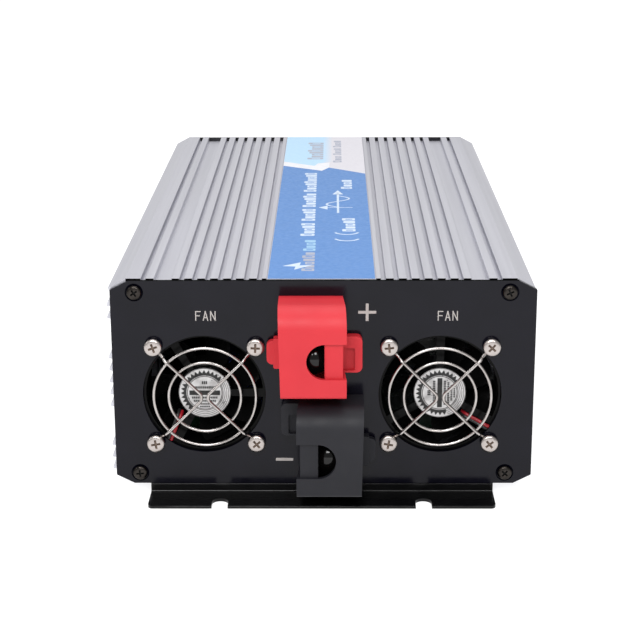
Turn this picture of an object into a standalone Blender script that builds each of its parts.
"""Power inverter: a fan-cooled extruded aluminium box with battery studs at one end.

The frame has its origin at the centre of the bounding box's base. +Z is up and +X points
right for someone who faces the battery end, which looks along -Y. Units are metres.
"""

import math

import bmesh
import bpy
from mathutils import Vector

MM = 0.001
GAP = 0.3 * MM
MERGE = 1e-6

# Whole object, along Y.
BODY_LENGTH = 380 * MM
COVER_REACH = 26 * MM
FLANGE_REACH = 18.7 * MM
PLATE_THICKNESS = 2 * MM
FRONT_Y = COVER_REACH - (BODY_LENGTH + COVER_REACH + FLANGE_REACH) / 2
REAR_Y = FRONT_Y + BODY_LENGTH

# End plates, across X and up Z.
PLATE_WIDTH = 207 * MM
PLATE_BOTTOM = 6 * MM
PLATE_TOP = 111 * MM
PLATE_CHAMFER_X = 8.9 * MM
PLATE_CHAMFER_Z = 4.5 * MM
FRONT_PLATE_SHIFT = 0.9 * MM
FRONT_FEATURE_SHIFT = 0.25 * MM
CORNER_SCREW_X = 91 * MM
CORNER_SCREW_LOW = 11.7 * MM
CORNER_SCREW_HIGH = 105.2 * MM
SCREW_HOLE = 2.3 * MM
STUD_HOLE = 7 * MM

# Extruded housing.
RIB_TOP = PLATE_TOP + 0.6 * MM
TOP_FLAT = 95 * MM
TOP_CORNER = (103.8 * MM, 106.9 * MM)
LOW_CORNER = (103 * MM, 10.5 * MM)
LABEL_LAND = 26.5 * MM
GROOVE_DEPTH = 3 * MM
GROOVE_WIDTH = 2.3 * MM
NARROW_GROOVES = 7
FIRST_GROOVE = 30 * MM
GROOVE_PITCH = 6.27 * MM
WIDE_GROOVE = (72.6 * MM, 81.2 * MM)
OUTER_GROOVE = 86.4 * MM
SIDE_WALL = 101.7 * MM
FIN_TIP = 104.5 * MM
FIN_HALF = 2.6 * MM
WALL = 2.5 * MM
SHELL_SPLIT = 39 * MM
UPPER_FINS = [z * MM for z in (100.3, 94.0, 73.4, 67.2, 61.0, 54.8, 48.6)]
LOWER_FINS = [z * MM for z in (28.0, 21.7, 15.5)]
BOSS_INNER_X = 86.2 * MM
LEDGE_TOP = 16.2 * MM
SCREW_CHANNEL = 2.1 * MM

# Mounting feet.
FOOT_HALF_WIDTH = 85.6 * MM
FOOT_SHEET = 1.5 * MM
FOOT_TOP = PLATE_BOTTOM - GAP
FOOT_LEAF = 22 * MM
SLOT_X = 50.2 * MM
SLOT_WIDTH = 7.9 * MM
SLOT_END = 9.3 * MM

# Cooling fans.
FAN_X = 58.05 * MM
FAN_Z = 53 * MM
FAN_HOLE = 30.25 * MM
FAN_SIZE = 60 * MM
FAN_DEPTH = 25 * MM
FAN_BORE = 28.9 * MM
FAN_SCREW = 25 * MM
HUB_DISC = 13.2 * MM
BLADES = 7
GUARD_RINGS = (25.3 * MM, 17.9 * MM)
GUARD_WIRE = 0.68 * MM
GUARD_PLANE = 4 * MM
GUARD_APEX = 1.6 * MM
GUARD_BEND = 3.3 * MM
EYELET_RADIUS = 3.2 * MM
FIRST_STRUT = {"left": 0, "right": 90}

# Battery terminals: the same cover on both, mirrored.
POSITIVE_STUD = (-4 * MM, 76 * MM)
NEGATIVE_STUD = (4 * MM, 25.5 * MM)
STUD_RADIUS = 4 * MM
COVER_CLOSED = -16.6 * MM
COVER_OPEN = 16.1 * MM
COVER_BOTTOM = -16.6 * MM
COVER_TOP = 27.6 * MM
COVER_WALL = 2.5 * MM
COVER_ROUND = 11 * MM
WINDOW_CENTRE = (5.7 * MM, 2 * MM)
WINDOW_RADIUS = 8.8 * MM
MEMBRANE_SINK = 1.8 * MM
TAB_REACH = 23.9 * MM
BASE_THICKNESS = 5 * MM

# Board and what stands on it.
BOARD_BOTTOM = LEDGE_TOP + GAP
BOARD_TOP = BOARD_BOTTOM + 1.6 * MM
ON_BOARD = BOARD_TOP + GAP

# Mains end.
SOCKET_CENTRES = (-62 * MM, -6 * MM)
SOCKET_Z = 60 * MM
SOCKET_FLANGE = 50 * MM
SOCKET_BODY = 22 * MM
SOCKET_RECESS = 19.75 * MM
SWITCH_CENTRE = (48 * MM, 84 * MM)
INDICATORS = {"power": (74 * MM, 90 * MM), "fault": (74 * MM, 78 * MM)}
EARTH_CENTRE = (86 * MM, 32 * MM)
INDICATOR_HOLE = 2.9 * MM
VENT_SLOTS = 7
VENT_PITCH = 8 * MM
FIRST_VENT = 26 * MM
VENT_HALF_WIDTH = 1.75 * MM
VENT_BOTTOM = 24 * MM
VENT_TOP = 62 * MM
SWITCH_TILT = 8


def clear_scene():
    for item in list(bpy.data.objects):
        bpy.data.objects.remove(item, do_unlink=True)


def make_material(name, colour, roughness, metallic=0.0):
    material = bpy.data.materials.new(name)
    material.use_nodes = True
    shader = material.node_tree.nodes["Principled BSDF"]
    shader.inputs["Base Color"].default_value = (*colour, 1.0)
    shader.inputs["Roughness"].default_value = roughness
    shader.inputs["Metallic"].default_value = metallic
    return material


def make_materials():
    return {
        "aluminium": make_material("aluminium", (0.55, 0.55, 0.6), 0.42, 1.0),
        "black_metal": make_material("black_metal", (0.02, 0.02, 0.022), 0.3),
        "black_steel": make_material("black_steel", (0.03, 0.03, 0.03), 0.35, 1.0),
        "black_nickel": make_material("black_nickel", (0.06, 0.055, 0.055), 0.1, 1.0),
        "nickel": make_material("nickel", (0.78, 0.75, 0.72), 0.2, 1.0),
        "fan_black": make_material("fan_black", (0.012, 0.012, 0.013), 0.4),
        "red_plastic": make_material("red_plastic", (0.75, 0.06, 0.08), 0.45),
        "black_plastic": make_material("black_plastic", (0.03, 0.03, 0.033), 0.5),
        "brass": make_material("brass", (0.7, 0.52, 0.25), 0.3, 1.0),
        "copper": make_material("copper", (0.75, 0.38, 0.22), 0.3, 1.0),
        "board_green": make_material("board_green", (0.03, 0.16, 0.07), 0.5),
        "ferrite": make_material("ferrite", (0.06, 0.06, 0.06), 0.6),
        "capacitor_blue": make_material("capacitor_blue", (0.03, 0.07, 0.3), 0.4),
        "fuse_orange": make_material("fuse_orange", (0.8, 0.3, 0.05), 0.4),
        "led_green": make_material("led_green", (0.1, 0.6, 0.15), 0.2),
        "led_red": make_material("led_red", (0.7, 0.05, 0.04), 0.2),
        "label": make_material("label", (0.16, 0.35, 0.7), 0.45),
        "red_wire": make_material("red_wire", (0.6, 0.03, 0.03), 0.45),
    }


# Outlines are lists of (u, v) points, counter-clockwise where it matters.


def arc(centre, radius, start, end, steps):
    """Points on an arc from start to end degrees, both ends included."""
    points = []
    for step in range(steps + 1):
        angle = math.radians(start + (end - start) * step / steps)
        points.append((centre[0] + radius * math.cos(angle), centre[1] + radius * math.sin(angle)))
    return points


def circle(centre, radius, steps=12):
    return arc(centre, radius, 0, 360, steps)[:-1]


def rectangle(low, high):
    return [low, (high[0], low[1]), high, (low[0], high[1])]


def rounded_rectangle(low, high, radius, steps=3):
    left, bottom = low[0] + radius, low[1] + radius
    right, top = high[0] - radius, high[1] - radius
    return (
        arc((right, bottom), radius, -90, 0, steps)
        + arc((right, top), radius, 0, 90, steps)
        + arc((left, top), radius, 90, 180, steps)
        + arc((left, bottom), radius, 180, 270, steps)
    )


def mirrored(points):
    return [(-u, v) for u, v in reversed(points)]


# Shapes are bmeshes. A shape's own axes (u, v, w) are laid on the object's by one of these.


def along_x(u, v, w):
    return w, u, v


def along_y(u, v, w):
    return u, w, v


def along_z(u, v, w):
    return u, v, w


def face_outwards(shape):
    bmesh.ops.recalc_face_normals(shape, faces=shape.faces)
    if shape.calc_volume(signed=True) < 0:
        bmesh.ops.reverse_faces(shape, faces=shape.faces)


def extruded(outlines, near, far, lay=along_y):
    """The first outline less the others, which are holes in it, from near to far along w."""
    curve = bpy.data.curves.new("outline", "CURVE")
    curve.dimensions = "2D"
    curve.fill_mode = "BOTH"
    curve.extrude = (far - near) / 2
    for points in outlines:
        spline = curve.splines.new("POLY")
        spline.points.add(len(points) - 1)
        spline.use_cyclic_u = True
        for place, (u, v) in zip(spline.points, points):
            place.co = (u, v, 0, 1)
    holder = bpy.data.objects.new("outline", curve)
    bpy.context.scene.collection.objects.link(holder)
    graph = bpy.context.evaluated_depsgraph_get()
    mesh = bpy.data.meshes.new_from_object(holder.evaluated_get(graph))
    shape = bmesh.new()
    shape.from_mesh(mesh)
    bpy.data.objects.remove(holder, do_unlink=True)
    bpy.data.curves.remove(curve)
    bpy.data.meshes.remove(mesh)
    bmesh.ops.remove_doubles(shape, verts=shape.verts, dist=MERGE)
    middle = (near + far) / 2
    for vertex in shape.verts:
        u, v, w = vertex.co
        vertex.co = lay(u, v, w + middle)
    face_outwards(shape)
    return shape


def turned(profile, steps, lay=along_y, centre=(0, 0)):
    """A profile of (radius, w) turned about w. One that leaves the axis free becomes a ring."""
    shape = bmesh.new()
    rings = []
    for radius, w in profile:
        if radius == 0:
            rings.append([shape.verts.new(lay(centre[0], centre[1], w))])
            continue
        around = circle(centre, radius, steps)
        rings.append([shape.verts.new(lay(u, v, w)) for u, v in around])
    pairs = list(zip(rings, rings[1:]))
    if len(rings[0]) > 1:
        pairs.append((rings[-1], rings[0]))
    for first, second in pairs:
        for step in range(steps):
            following = (step + 1) % steps
            corners = [
                first[step % len(first)],
                first[following % len(first)],
                second[following % len(second)],
                second[step % len(second)],
            ]
            shape.faces.new(dict.fromkeys(corners))
    face_outwards(shape)
    return shape


def box(low, high):
    return extruded([rectangle(low[:2], high[:2])], low[2], high[2], along_z)


def tube(path, radius, sides, closed=False):
    """A round wire along a path of 3-D points, as a ring or with flat ends."""
    shape = bmesh.new()
    rings = []
    count = len(path)
    for index, point in enumerate(path):
        before = path[index - 1] if closed or index else point
        after = path[(index + 1) % count] if closed or index < count - 1 else point
        direction = (Vector(after) - Vector(before)).normalized()
        side = direction.cross(Vector((0, 1, 0)))
        if side.length < 0.1:
            side = direction.cross(Vector((0, 0, 1)))
        side.normalize()
        other = direction.cross(side)
        ring = []
        for turn in range(sides):
            angle = 2 * math.pi * turn / sides
            offset = side * math.cos(angle) + other * math.sin(angle)
            ring.append(shape.verts.new(Vector(point) + offset * radius))
        rings.append(ring)
    pairs = list(zip(rings, rings[1:]))
    if closed:
        pairs.append((rings[-1], rings[0]))
    else:
        shape.faces.new(rings[0])
        shape.faces.new(rings[-1])
    for first, second in pairs:
        for turn in range(sides):
            following = (turn + 1) % sides
            shape.faces.new((first[turn], first[following], second[following], second[turn]))
    face_outwards(shape)
    return shape


def together(shapes):
    """Several shapes in one, still separate bodies."""
    whole = bmesh.new()
    for shape in shapes:
        mesh = bpy.data.meshes.new("part")
        shape.to_mesh(mesh)
        whole.from_mesh(mesh)
        shape.free()
        bpy.data.meshes.remove(mesh)
    return whole


def add(name, shape, material, location=(0, 0, 0), smooth=False):
    """One object of this shape, whose coordinates are counted from the location."""
    mesh = bpy.data.meshes.new(name)
    shape.to_mesh(mesh)
    shape.free()
    if smooth:
        mesh.shade_smooth()
        mesh.set_sharp_from_angle(angle=math.radians(35))
    if material:
        mesh.materials.append(material)
    item = bpy.data.objects.new(name, mesh)
    item.location = location
    bpy.context.scene.collection.objects.link(item)
    return item


def combine(item, shape, operation, label):
    """A Boolean with a helper that has the object's own origin."""
    helper = add(f"{item.name}_{label}", shape, None, item.location)
    helper.hide_render = True
    helper.display_type = "WIRE"
    modifier = item.modifiers.new(label.title(), "BOOLEAN")
    modifier.operation = operation
    modifier.object = helper


def join(item, shape, label):
    combine(item, shape, "UNION", label)


def cut(item, shape, label):
    combine(item, shape, "DIFFERENCE", label)


def fins(levels):
    """Saw-tooth cooling fins down the right side wall, each flat on its underside."""
    points = []
    for z in levels:
        points += [
            (SIDE_WALL, z + FIN_HALF),
            (FIN_TIP, z - FIN_HALF / 2),
            (FIN_TIP, z - FIN_HALF),
            (SIDE_WALL, z - FIN_HALF),
        ]
    return points


def top_grooves():
    """Edges of the grooves on the right half of the top, outwards from the middle."""
    centres = [FIRST_GROOVE + index * GROOVE_PITCH for index in range(NARROW_GROOVES)]
    spans = [(x - GROOVE_WIDTH / 2, x + GROOVE_WIDTH / 2) for x in centres]
    spans += [WIDE_GROOVE, (OUTER_GROOVE - GROOVE_WIDTH / 2, OUTER_GROOVE + GROOVE_WIDTH / 2)]
    floor = RIB_TOP - GROOVE_DEPTH
    points = []
    for left, right in spans:
        points += [(left, RIB_TOP), (left, floor), (right, floor), (right, RIB_TOP)]
    return points


def make_housing(materials):
    near = FRONT_Y + PLATE_THICKNESS + GAP
    far = REAR_Y - PLATE_THICKNESS - GAP
    inner_x = SIDE_WALL - WALL
    roof = RIB_TOP - GROOVE_DEPTH - WALL
    boss_bottom = CORNER_SCREW_HIGH - 4.5 * MM
    split = SHELL_SPLIT + GAP
    land = RIB_TOP - 0.5 * MM
    outer = [(LABEL_LAND, land), (LABEL_LAND, RIB_TOP)] + top_grooves()
    outer += [(TOP_FLAT, RIB_TOP), TOP_CORNER] + fins(UPPER_FINS) + [(SIDE_WALL, split)]
    inner = [(inner_x, split), (inner_x, boss_bottom)]
    inner += [(BOSS_INNER_X, boss_bottom), (BOSS_INNER_X, roof)]
    holes = [circle((x, CORNER_SCREW_HIGH), SCREW_CHANNEL) for x in (-CORNER_SCREW_X, CORNER_SCREW_X)]
    outline = outer + inner + mirrored(outer + inner)
    add("top_shell", extruded([outline] + holes, near, far), materials["aluminium"])

    outer = [(SIDE_WALL, SHELL_SPLIT)] + fins(LOWER_FINS) + [LOW_CORNER, (TOP_FLAT, PLATE_BOTTOM)]
    floor = PLATE_BOTTOM + WALL
    inner = [(BOSS_INNER_X, floor), (BOSS_INNER_X, LEDGE_TOP)]
    inner += [(inner_x, LEDGE_TOP), (inner_x, SHELL_SPLIT)]
    holes = [circle((x, CORNER_SCREW_LOW), SCREW_CHANNEL) for x in (-CORNER_SCREW_X, CORNER_SCREW_X)]
    outline = inner + outer + mirrored(inner + outer)
    add("bottom_shell", extruded([outline] + holes, near, far), materials["aluminium"])

    label = [rectangle((0.4 * MM - LABEL_LAND, near), (LABEL_LAND - 0.4 * MM, far))]
    sheet = extruded(label, land + 0.1 * MM, land + 0.35 * MM, along_z)
    add("top_label", sheet, materials["label"])


def plate_outline(shift):
    half = PLATE_WIDTH / 2
    right = [
        (half - PLATE_CHAMFER_X, PLATE_BOTTOM),
        (half, PLATE_BOTTOM + PLATE_CHAMFER_Z),
        (half, PLATE_TOP - PLATE_CHAMFER_Z),
        (half - PLATE_CHAMFER_X, PLATE_TOP),
    ]
    return [(u + shift, v) for u, v in right + mirrored(right)]


def corner_screw_places(shift):
    places = []
    for z in (CORNER_SCREW_HIGH, CORNER_SCREW_LOW):
        for x in (-CORNER_SCREW_X, CORNER_SCREW_X):
            places.append((x + shift, z))
    return places


def fan_centres():
    return {
        "left": (FRONT_FEATURE_SHIFT - FAN_X, FAN_Z),
        "right": (FRONT_FEATURE_SHIFT + FAN_X, FAN_Z),
    }


def fan_screw_places(centre):
    places = []
    for z in (FAN_SCREW, -FAN_SCREW):
        for x in (-FAN_SCREW, FAN_SCREW):
            places.append((centre[0] + x, centre[1] + z))
    return places


def make_end_plates(materials):
    holes = [circle(place, SCREW_HOLE) for place in corner_screw_places(FRONT_FEATURE_SHIFT)]
    for centre in fan_centres().values():
        holes.append(circle(centre, FAN_HOLE, 32))
        holes += [circle(place, SCREW_HOLE) for place in fan_screw_places(centre)]
    for centre in (POSITIVE_STUD, NEGATIVE_STUD):
        holes.append(circle(centre, STUD_HOLE, 20))
    outline = plate_outline(FRONT_PLATE_SHIFT)
    plate = extruded([outline] + holes, FRONT_Y, FRONT_Y + PLATE_THICKNESS)
    add("dc_end_plate", plate, materials["black_metal"])

    holes = [circle(place, SCREW_HOLE) for place in corner_screw_places(0)]
    for x in SOCKET_CENTRES:
        holes.append(circle((x, SOCKET_Z), SOCKET_BODY + 0.5 * MM, 32))
    x, z = SWITCH_CENTRE
    holes.append(rectangle((x - 6.6 * MM, z - 9.8 * MM), (x + 6.6 * MM, z + 9.8 * MM)))
    for centre in INDICATORS.values():
        holes.append(circle(centre, INDICATOR_HOLE))
    holes.append(circle(EARTH_CENTRE, INDICATOR_HOLE))
    for index in range(VENT_SLOTS):
        x = FIRST_VENT + index * VENT_PITCH
        low, high = (x - VENT_HALF_WIDTH, VENT_BOTTOM), (x + VENT_HALF_WIDTH, VENT_TOP)
        holes.append(rounded_rectangle(low, high, 1.7 * MM, 2))
    plate = extruded([plate_outline(0)] + holes, REAR_Y - PLATE_THICKNESS, REAR_Y)
    add("ac_end_plate", plate, materials["black_metal"])


def make_feet(materials):
    """A folded strip under each end, with open slots for the user's own screws."""
    profile = [
        (-FLANGE_REACH, 0),
        (FOOT_SHEET, 0),
        (FOOT_SHEET, FOOT_TOP - FOOT_SHEET),
        (FOOT_LEAF, FOOT_TOP - FOOT_SHEET),
        (FOOT_LEAF, FOOT_TOP),
        (0, FOOT_TOP),
        (0, FOOT_SHEET),
        (-FLANGE_REACH, FOOT_SHEET),
    ]
    for name, wall_y, facing in (("front_foot", FRONT_Y, 1), ("rear_foot", REAR_Y, -1)):
        side = [(wall_y + facing * u, v) for u, v in profile]
        strip = extruded([side], -FOOT_HALF_WIDTH, FOOT_HALF_WIDTH, along_x)
        foot = add(name, strip, materials["black_metal"])
        cutters = []
        for x in (-SLOT_X, SLOT_X):
            ends = sorted((wall_y - facing * SLOT_END, wall_y - facing * (FLANGE_REACH + 6 * MM)))
            low = (x - SLOT_WIDTH / 2, ends[0])
            high = (x + SLOT_WIDTH / 2, ends[1])
            slot = rounded_rectangle(low, high, SLOT_WIDTH / 2 - 0.05 * MM)
            cutters.append(extruded([slot], -2 * MM, FOOT_SHEET + 1 * MM, along_z))
        cut(foot, together(cutters), "slots")


def pan_screw(head_radius, head_height, shank_radius, length, facing):
    """A screw whose head's underside is at w = 0 and whose shank runs inwards from it."""
    profile = [
        (0, -head_height),
        (head_radius * 0.75, -head_height * 0.8),
        (head_radius, -head_height * 0.3),
        (head_radius, 0),
        (shank_radius, 0),
        (shank_radius, length),
        (0, length),
    ]
    return turned([(radius, facing * w) for radius, w in profile], 10)


def make_plate_screws(materials):
    ends = (("dc", FRONT_Y, 1, FRONT_FEATURE_SHIFT), ("ac", REAR_Y, -1, 0))
    for end, wall_y, facing, shift in ends:
        for number, (x, z) in enumerate(corner_screw_places(shift), 1):
            screw = pan_screw(3.6 * MM, 1.8 * MM, 1.6 * MM, 12 * MM, facing)
            place = (x, wall_y - facing * GAP, z)
            add(f"{end}_plate_screw_{number}", screw, materials["black_steel"], place, True)


def strut_bars(side):
    """Three spokes that hold the motor's disc in the middle of the fan frame."""
    bars = []
    for spoke in range(3):
        angle = math.radians(FIRST_STRUT[side] + 120 * spoke)
        along = Vector((math.cos(angle), math.sin(angle)))
        across = Vector((-along.y, along.x)) * 2.2 * MM
        near, far = along * 10 * MM, along * 30 * MM
        corners = [near - across, far - across, far + across, near + across]
        bars.append(extruded([[tuple(corner) for corner in corners]], 0.4 * MM, 2.8 * MM))
    return bars


def fan_blades():
    """Closed twisted blades, each rooted inside the hub."""
    stations = [12.4 * MM, 18 * MM, 23 * MM, 27.5 * MM]
    chord_steps = 3
    blades = []
    for blade in range(BLADES):
        shape = bmesh.new()
        start = 360 / BLADES * blade
        layers = []
        for offset in (-0.6 * MM, 0.6 * MM):
            layer = []
            for row, radius in enumerate(stations):
                span = 40 - 2 * row
                points = []
                for step in range(chord_steps + 1):
                    share = step / chord_steps
                    angle = math.radians(start + 4 * row + span * share)
                    depth = (6 + 13 * share + 1.6 * math.sin(math.pi * share)) * MM
                    u, v = radius * math.cos(angle), radius * math.sin(angle)
                    points.append(shape.verts.new((u, depth + offset, v)))
                layer.append(points)
            layers.append(layer)
        last = len(stations) - 1
        for front, layer in zip((True, False), layers):
            for row in range(last):
                for step in range(chord_steps):
                    corners = [layer[row][step], layer[row + 1][step]]
                    corners += [layer[row + 1][step + 1], layer[row][step + 1]]
                    shape.faces.new(corners if front else reversed(corners))
        rim = [(0, step) for step in range(chord_steps)]
        rim += [(row, chord_steps) for row in range(last)]
        rim += [(last, step) for step in range(chord_steps, 0, -1)]
        rim += [(row, 0) for row in range(last, 0, -1)]
        for (row, step), (next_row, next_step) in zip(rim, rim[1:] + rim[:1]):
            lower, upper = layers
            corners = [lower[row][step], lower[next_row][next_step]]
            corners += [upper[next_row][next_step], upper[row][step]]
            shape.faces.new(corners)
        face_outwards(shape)
        blades.append(shape)
    return blades


def make_fans(materials):
    """Two axial fans. The strut side faces out, behind the plate."""
    frame_y = FRONT_Y + PLATE_THICKNESS + GAP
    half = FAN_SIZE / 2
    for side, (x, z) in fan_centres().items():
        holes = [circle((0, 0), FAN_BORE, 32)]
        holes += [circle(place, 2.2 * MM, 10) for place in fan_screw_places((0, 0))]
        outline = rounded_rectangle((-half, -half), (half, half), 4 * MM)
        block = extruded([outline] + holes, 0, FAN_DEPTH)
        frame = add(f"fan_frame_{side}", block, materials["fan_black"], (x, frame_y, z))
        disc = turned([(0, 0.2 * MM), (HUB_DISC, 0.2 * MM), (HUB_DISC, 3.2 * MM), (0, 3.2 * MM)], 24)
        join(frame, disc, "disc")
        join(frame, together(strut_bars(side)), "spokes")

        hub = [(0, 3.7 * MM), (12.6 * MM, 3.7 * MM), (13.6 * MM, 4.7 * MM), (13.6 * MM, 20 * MM)]
        hub += [(12.6 * MM, 21 * MM), (0, 21 * MM)]
        rotor = add(f"fan_rotor_{side}", turned(hub, 24), materials["fan_black"], (x, frame_y, z), True)
        join(rotor, together(fan_blades()), "blades")


def guard_wire(mirror):
    """A bent wire: eyelet, straight run to a rounded apex beside the middle, and back again."""
    seat = -GUARD_WIRE - 2 * GAP
    front = -GUARD_PLANE - 1.5 * GUARD_WIRE
    half = []
    for u, v in arc((FAN_SCREW, FAN_SCREW), EYELET_RADIUS, -118, 140, 7):
        half.append(Vector((u, seat, v)))
    bend = arc((GUARD_APEX + GUARD_BEND, 0), GUARD_BEND, 135, 180, 3)
    inner = Vector((bend[0][0], front, bend[0][1]))
    direction = Vector((1, 0, 1)).normalized()
    for reach, y in ((27.0 * MM, seat), (23.6 * MM, front), (14 * MM, front)):
        point = inner + direction * reach
        half.append(Vector((point.x, y, point.z)))
    half += [Vector((u, front, v)) for u, v in bend]
    path = half + [Vector((point.x, point.y, -point.z)) for point in reversed(half[:-1])]
    return tube([(mirror * point.x, point.y, point.z) for point in path], GUARD_WIRE, 5)


def make_guards(materials):
    """Finger guards of two welded rings on two bent wires, with their four screws each."""
    for side, (x, z) in fan_centres().items():
        rings = []
        for radius in GUARD_RINGS:
            path = [(u, -GUARD_PLANE, v) for u, v in circle((0, 0), radius, 30)]
            rings.append(tube(path, GUARD_WIRE, 5, closed=True))
        place = (x, FRONT_Y, z)
        guard = add(f"fan_guard_{side}", rings[0], materials["nickel"], place, True)
        join(guard, rings[1], "inner_ring")
        join(guard, guard_wire(-1), "left_wire")
        join(guard, guard_wire(1), "right_wire")
        head_y = FRONT_Y - 2 * GUARD_WIRE - 3 * GAP
        for number, (screw_x, screw_z) in enumerate(fan_screw_places((x, z)), 1):
            screw = pan_screw(4 * MM, 2.4 * MM, 1.7 * MM, 18 * MM, 1)
            name = f"fan_screw_{side}_{number}"
            add(name, screw, materials["nickel"], (screw_x, head_y, screw_z), True)


def cover_side_view(inset, back):
    """The cover seen from its side, as (y, z): square at the base, round at the top front."""
    front = inset - COVER_REACH
    low = COVER_BOTTOM + inset
    high = COVER_TOP - inset
    radius = COVER_ROUND - inset
    bend = arc((front + radius, high - radius), radius, 180, 90, 6)
    return [(back, low), (front, low)] + bend + [(back, high)]


def span(side, first, second):
    return sorted((side * first, side * second))


def make_cover(name, stud, side, tab, material):
    """A snap-on cap with a key window, a thin knock-out beside it, and a notch for the tab."""
    place = (stud[0], FRONT_Y, stud[1])
    body = extruded([cover_side_view(0, -GAP)], *span(side, COVER_CLOSED, COVER_OPEN), along_x)
    cover = add(name, body, material, place)

    ear_low, ear_high = span(side, COVER_CLOSED + 1 * MM, COVER_CLOSED - 6.1 * MM)
    step_low, step_high = span(side, COVER_CLOSED + 1 * MM, COVER_CLOSED - 2.8 * MM)
    lobe = rounded_rectangle((ear_low, -6 * MM), (ear_high, 6 * MM), 2.8 * MM)
    step = rectangle((step_low, -7.6 * MM), (step_high, 7.6 * MM))
    join(cover, extruded([lobe], -4.6 * MM, -1 * MM), "ear")
    join(cover, extruded([step], -6.4 * MM, -0.8 * MM), "step")

    low, high = span(side, COVER_CLOSED + COVER_WALL, COVER_OPEN - COVER_WALL)
    cavity = extruded([cover_side_view(COVER_WALL, 5 * MM)], low, high, along_x)
    cut(cover, cavity, "cavity")

    u, v = WINDOW_CENTRE
    edge = arc((u, v), WINDOW_RADIUS, 90, 270, 10)
    window = [(side * a, b) for a, b in edge]
    cut(cover, extruded([window], -30 * MM, -20 * MM), "window")
    sink = MEMBRANE_SINK
    beyond = COVER_OPEN + 4 * MM
    notch = [
        (u - 0.1 * MM, -30 * MM),
        (beyond, -30 * MM),
        (beyond, -9 * MM),
        (COVER_OPEN - sink, -9 * MM),
        (COVER_OPEN - sink, sink - COVER_REACH),
        (u - 0.1 * MM, sink - COVER_REACH),
    ]
    notch = [(side * a, b) for a, b in notch]
    cut(cover, extruded([notch], v - WINDOW_RADIUS, v + WINDOW_RADIUS, along_z), "recess")
    tab_low, tab_high = span(side, COVER_OPEN - COVER_WALL - 1 * MM, beyond)
    gate_outline = rectangle((tab_low, tab[0] - 0.4 * MM), (tab_high, tab[1] + 0.4 * MM))
    cut(cover, extruded([gate_outline], -BASE_THICKNESS - 3 * GAP, 5 * MM), "gate")


def make_terminal_base(name, stud, side, tab, levels, material):
    """The insulator under a stud: a plate with one rounded tab, and a collar through the wall."""
    inner = COVER_WALL + 0.5 * MM
    closed, opened = COVER_CLOSED + inner, COVER_OPEN - inner
    corners = arc((TAB_REACH - 3 * MM, tab[0] + 3 * MM), 3 * MM, -90, 0, 4)
    corners += arc((TAB_REACH - 3 * MM, tab[1] - 3 * MM), 3 * MM, 0, 90, 4)
    outline = [(closed, levels[0]), (opened, levels[0]), (opened, tab[0])] + corners
    outline += [(opened, tab[1]), (opened, levels[1]), (closed, levels[1])]
    outline = [(side * u, v) for u, v in outline]
    hole = circle((0, 0), STUD_RADIUS + GAP, 16)
    plate = extruded([outline, hole], -GAP - BASE_THICKNESS, -GAP)
    base = add(name, plate, material, (stud[0], FRONT_Y, stud[1]))
    collar = extruded([circle((0, 0), 6.6 * MM, 20), hole], -2 * MM, 8 * MM)
    join(base, collar, "collar")
    pocket_low, pocket_high = span(side, opened + 0.6 * MM, TAB_REACH - 3.6 * MM)
    pocket = rectangle((pocket_low, tab[0] + 1 * MM), (pocket_high, tab[1] - 6 * MM))
    cut(base, extruded([pocket], -12 * MM, -BASE_THICKNESS + 1.7 * MM), "pocket")


def make_stud_set(name, stud, materials):
    """Stud, washer and cap nut, on one axis along Y. The nut unscrews towards -Y."""
    place = (stud[0], FRONT_Y, stud[1])
    radius = STUD_RADIUS
    profile = [(0, -12.5 * MM), (radius - 0.6 * MM, -12.5 * MM), (radius, -11.9 * MM)]
    profile += [(radius, 10.6 * MM), (6.5 * MM, 10.6 * MM), (6.5 * MM, 15 * MM), (0, 15 * MM)]
    add(f"{name}_stud", turned(profile, 16), materials["brass"], place, True)

    bore = radius + GAP
    front = -BASE_THICKNESS - 2 * GAP
    washer = [(bore, front), (8 * MM, front), (8 * MM, front - 1.6 * MM), (bore, front - 1.6 * MM)]
    add(f"{name}_washer", turned(washer, 20), materials["nickel"], place, True)

    seat = front - 1.6 * MM - GAP
    hexagon = [circle((0, 0), 9.6 * MM, 6), circle((0, 0), bore, 16)]
    body = extruded(hexagon, seat - 5 * MM, seat)
    nut = add(f"{name}_nut", body, materials["black_nickel"], place, True)
    skirt = seat - 4 * MM
    profile = [(0, -15 * MM), (bore, -15 * MM), (bore, skirt), (8.4 * MM, skirt)]
    for step in range(1, 6):
        angle = math.radians(18 * step)
        rise = 6.6 * MM * math.sin(angle)
        profile.append((8.4 * MM * math.cos(angle) if step < 5 else 0, skirt - 2 * MM - rise))
    profile.insert(4, (8.4 * MM, skirt - 2 * MM))
    join(nut, turned(profile, 16), "dome")


def make_terminals(materials):
    positive_tab = (-9.9 * MM, 8.5 * MM)
    negative_tab = (7.8 * MM, 24.6 * MM)
    red, black = materials["red_plastic"], materials["black_plastic"]
    make_cover("positive_cover", POSITIVE_STUD, 1, positive_tab, red)
    make_cover("negative_cover", NEGATIVE_STUD, -1, negative_tab, black)
    positive_levels = (-13 * MM, 15 * MM)
    negative_levels = (-13 * MM, 24.6 * MM)
    make_terminal_base("positive_base", POSITIVE_STUD, 1, positive_tab, positive_levels, red)
    make_terminal_base("negative_base", NEGATIVE_STUD, -1, negative_tab, negative_levels, black)
    make_stud_set("positive", POSITIVE_STUD, materials)
    make_stud_set("negative", NEGATIVE_STUD, materials)


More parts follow.
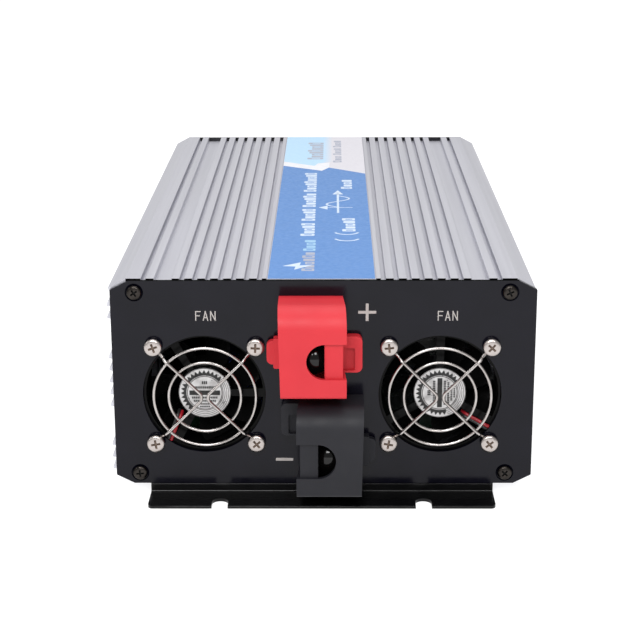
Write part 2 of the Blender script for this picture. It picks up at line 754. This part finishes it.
def make_busbars(materials):
    """Copper straps from the studs down to the board, between the fans."""
    near, far = FRONT_Y + 8.3 * MM, FRONT_Y + 10.3 * MM
    for name, stud, side in (("positive", POSITIVE_STUD, -1), ("negative", NEGATIVE_STUD, 1)):
        x, z = abs(stud[0]), stud[1]
        outline = [
            (x + 22 * MM, ON_BOARD),
            (x + 22 * MM, z + 7 * MM),
            (x - 7 * MM, z + 7 * MM),
            (x - 7 * MM, z - 7 * MM if side < 0 else ON_BOARD),
        ]
        if side < 0:
            outline += [(x + 10 * MM, z - 7 * MM), (x + 10 * MM, ON_BOARD)]
        outline = [(side * u, v) for u, v in outline]
        strap = extruded([outline, circle(stud, STUD_RADIUS + GAP, 16)], near, far)
        add(f"{name}_busbar", strap, materials["copper"])


def make_board_parts(materials):
    inner_x = SIDE_WALL - WALL - 2 * GAP
    start, end = FRONT_Y + 5 * MM, REAR_Y - 34 * MM
    board = box((-inner_x, start, BOARD_BOTTOM), (inner_x, end, BOARD_TOP))
    add("main_board", board, materials["board_green"])

    holder = box((-22 * MM, FRONT_Y + 40 * MM, ON_BOARD), (22 * MM, FRONT_Y + 56 * MM, ON_BOARD + 6 * MM))
    fuses = add("fuse_bank", holder, materials["fuse_orange"])
    blades = []
    for index in range(5):
        x = (index - 2) * 8.6 * MM
        low = (x - 2.6 * MM, FRONT_Y + 39 * MM, ON_BOARD + 4 * MM)
        high = (x + 2.6 * MM, FRONT_Y + 57 * MM, ON_BOARD + 17 * MM)
        blades.append(box(low, high))
    join(fuses, together(blades), "blades")

    for number, y in ((1, -62 * MM), (2, 2 * MM)):
        low, high = (-27 * MM, y - 11 * MM, ON_BOARD), (27 * MM, y + 11 * MM, ON_BOARD + 48 * MM)
        core = add(f"transformer_{number}", box(low, high), materials["ferrite"])
        low = (-18 * MM, y - 21 * MM, ON_BOARD + 8 * MM)
        high = (18 * MM, y + 21 * MM, ON_BOARD + 40 * MM)
        join(core, box(low, high), "windings")

    for name, radius, height, place in (
        ("bus_capacitor", 17.5 * MM, 48 * MM, (42 * MM, 62 * MM)),
        ("input_capacitor", 9 * MM, 34 * MM, (-42 * MM, -112 * MM)),
    ):
        top = ON_BOARD + height
        can = [(0, ON_BOARD), (radius, ON_BOARD), (radius, top - 1 * MM), (radius - 1 * MM, top)]
        can.append((0, top))
        add(name, turned(can, 24, along_z, place), materials["capacitor_blue"], smooth=True)

    middle = ON_BOARD + 9 * MM
    ring = [(radius, z) for radius, z in circle((17 * MM, middle), 8.5 * MM, 8)]
    place = (-42 * MM, 66 * MM)
    add("output_inductor", turned(ring, 20, along_z, place), materials["copper"], smooth=True)

    low, high = (-42 * MM, 116 * MM, ON_BOARD), (42 * MM, 117.6 * MM, ON_BOARD + 50 * MM)
    add("control_board", box(low, high), materials["board_green"])


def make_transistor_banks(materials):
    """A row of power transistors pressed on each side wall by a bar."""
    wall_x = SIDE_WALL - WALL - GAP
    for name, side in (("left", -1), ("right", 1)):
        ends = span(side, wall_x - 5 * MM, wall_x)
        low = (ends[0], -112 * MM, ON_BOARD + 14 * MM)
        high = (ends[1], 108 * MM, ON_BOARD + 30 * MM)
        bank = add(f"transistor_bank_{name}", box(low, high), materials["aluminium"])
        packages = []
        ends = span(side, wall_x - 9 * MM, wall_x - 4 * MM)
        for index in range(10):
            y = (-100 + 22 * index) * MM
            low = (ends[0], y - 5 * MM, ON_BOARD + 10 * MM)
            high = (ends[1], y + 5 * MM, ON_BOARD + 26 * MM)
            packages.append(box(low, high))
        join(bank, together(packages), "packages")


def make_fan_leads(materials):
    """The fan leads, which run from under each frame to the front of the board."""
    for side, (x, z) in fan_centres().items():
        turn = -1 if side == "left" else 1
        start_x = x + turn * 14 * MM
        points = []
        for step in range(21):
            share = step / 20
            ease = share * share * (3 - 2 * share)
            drop = min(1, share * 4)
            height = z - FAN_SIZE / 2 - 1.6 * MM - 1.4 * MM * drop * drop * (3 - 2 * drop)
            points.append((start_x - turn * 30 * MM * ease, FRONT_Y + (9 + 44 * share) * MM, height))
        lead = tube(points, 1.1 * MM, 6)
        add(f"fan_lead_{side}", lead, materials["red_wire"], smooth=True)


def make_sockets(materials):
    """Two round mains outlets with a deep recess and two pin holes each."""
    for number, x in enumerate(SOCKET_CENTRES, 1):
        half = SOCKET_FLANGE / 2
        corners = rounded_rectangle((-half, -half), (half, half), 6 * MM, 4)
        flange = extruded([corners, circle((0, 0), 21 * MM, 32)], GAP, 3.2 * MM)
        name = f"ac_socket_{number}"
        socket = add(name, flange, materials["black_plastic"], (x, REAR_Y, SOCKET_Z), True)
        cup = [(0, -27 * MM), (SOCKET_BODY, -27 * MM), (SOCKET_BODY, 2.8 * MM)]
        cup += [(SOCKET_RECESS, 2.8 * MM), (SOCKET_RECESS, -14 * MM), (0, -14 * MM)]
        join(socket, turned(cup, 32), "cup")
        pins = []
        for offset in (-9.5 * MM, 9.5 * MM):
            pins.append(extruded([circle((offset, 0), 2.6 * MM, 12)], -23 * MM, -10 * MM))
        cut(socket, together(pins), "pin_holes")


def make_power_switch(materials):
    """A rocker on a cross pin. At rest its lower half is pressed, which is off."""
    x, z = SWITCH_CENTRE
    place = (x, REAR_Y, z)
    bezel = rounded_rectangle((-7.6 * MM, -10.8 * MM), (7.6 * MM, 10.8 * MM), 1.5 * MM)
    opening = rectangle((-5.2 * MM, -8.7 * MM), (5.2 * MM, 8.7 * MM))
    flange = extruded([bezel, opening], GAP, 2.3 * MM)
    frame = add("power_switch_frame", flange, materials["black_plastic"], place)
    can = extruded([rectangle((-6.3 * MM, -9.5 * MM), (6.3 * MM, 9.5 * MM))], -18 * MM, 1 * MM)
    join(frame, can, "can")
    well = extruded([opening], -11 * MM, 4 * MM)
    cut(frame, well, "well")

    tilt = math.radians(-SWITCH_TILT)
    outer = [(-8 * MM, 4.4 * MM), (-7.7 * MM, 1 * MM)]
    belly = arc((0, 0), 7.4 * MM, 180 + 12, 360 - 12, 6)
    profile = outer + belly + [(7.7 * MM, 1 * MM), (8 * MM, 4.4 * MM), (0, 2.6 * MM)]
    turned_profile = []
    for v, w in profile:
        out = w * math.cos(tilt) - v * math.sin(tilt)
        up = v * math.cos(tilt) + w * math.sin(tilt)
        turned_profile.append((out, up))
    rocker = extruded([turned_profile], -4.7 * MM, 4.7 * MM, along_x)
    add("power_switch_rocker", rocker, materials["black_plastic"], place)


def make_small_rear_parts(materials):
    for name, (x, z) in INDICATORS.items():
        colour = materials["led_green" if name == "power" else "led_red"]
        lamp = [(0, -7 * MM), (2.5 * MM, -7 * MM), (2.5 * MM, GAP), (3.4 * MM, GAP)]
        lamp += [(3.4 * MM, 1.2 * MM), (2.5 * MM, 1.3 * MM), (1.9 * MM, 2.9 * MM), (0, 3.6 * MM)]
        add(f"{name}_indicator", turned(lamp, 14), colour, (x, REAR_Y, z), True)
    bolt = [(0, -10 * MM), (2.5 * MM, -10 * MM), (2.5 * MM, GAP), (6.5 * MM, GAP)]
    bolt += [(6.5 * MM, 1.5 * MM), (4.9 * MM, 1.5 * MM), (4.9 * MM, 5 * MM), (4 * MM, 5.6 * MM)]
    bolt.append((0, 5.6 * MM))
    place = (EARTH_CENTRE[0], REAR_Y, EARTH_CENTRE[1])
    add("earth_screw", turned(bolt, 16), materials["brass"], place, True)


def main():
    clear_scene()
    materials = make_materials()
    make_housing(materials)
    make_end_plates(materials)
    make_feet(materials)
    make_plate_screws(materials)
    make_fans(materials)
    make_guards(materials)
    make_terminals(materials)
    make_busbars(materials)
    make_board_parts(materials)
    make_transistor_banks(materials)
    make_fan_leads(materials)
    make_sockets(materials)
    make_power_switch(materials)
    make_small_rear_parts(materials)


main()
